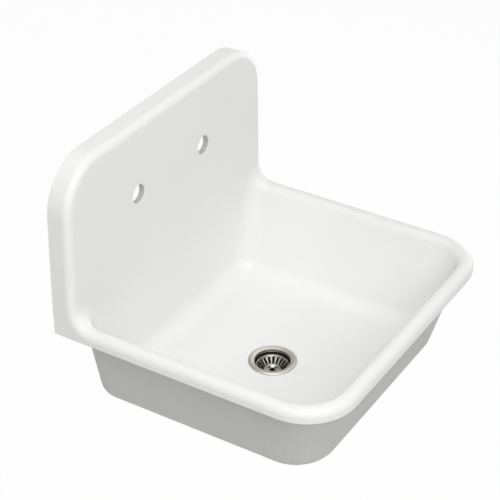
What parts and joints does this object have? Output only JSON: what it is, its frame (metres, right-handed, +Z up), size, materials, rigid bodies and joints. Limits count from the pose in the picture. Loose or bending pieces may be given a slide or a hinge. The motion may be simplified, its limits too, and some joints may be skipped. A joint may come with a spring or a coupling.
{
  "type": "composite sink",
  "caption": "Wall-hung white composite utility sink with a tall splashback, a deep basin with a rolled rim and a basket strainer drain.",
  "frame": {"origin": "centre of the wall hanger's back face, in the plane of the wall; the rim's top is 215 mm below it", "axes": "+X to the right as seen from in front of the sink, +Y back into the wall, +Z up"},
  "size_m": [0.608, 0.532, 0.635],
  "materials": {
    "composite": "glossy",
    "nickel": "satin",
    "chrome_tube": "polished",
    "zinc_steel": "satin",
    "brass": "satin",
    "rubber": "matte",
    "sealant": "matte",
    "poly_washer": "matte",
    "fibre": "matte"
  },
  "bodies": {
    "root": {"sink_body": "composite", "wall_hanger": "zinc_steel", "flange_seal": "sealant", "strainer_body": "nickel", "drain_cross": "nickel", "body_gasket": "rubber", "friction_washer": "fibre", "locknut": "zinc_steel", "tailpiece_washer": "poly_washer", "tailpiece": "chrome_tube", "coupling_nut": "chrome_tube", "post_clip": "brass"},
    "post": {"basket_post": "nickel", "post_knob": "nickel", "stopper": "rubber", "stopper_washer": "nickel", "post_nut": "brass"},
    "basket": {"basket_cup": "nickel"}
  },
  "joints": [
    {"name": "basket_lift", "type": "slide", "parent": "root", "child": "post", "axis": [0, 0, 1], "range_m": [0, 0.056]},
    {"name": "basket_turn", "type": "hinge", "parent": "post", "child": "basket", "pos_m": [0, -0.252, -0.4133], "axis": [0, 0, 1], "continuous": true}
  ]
}
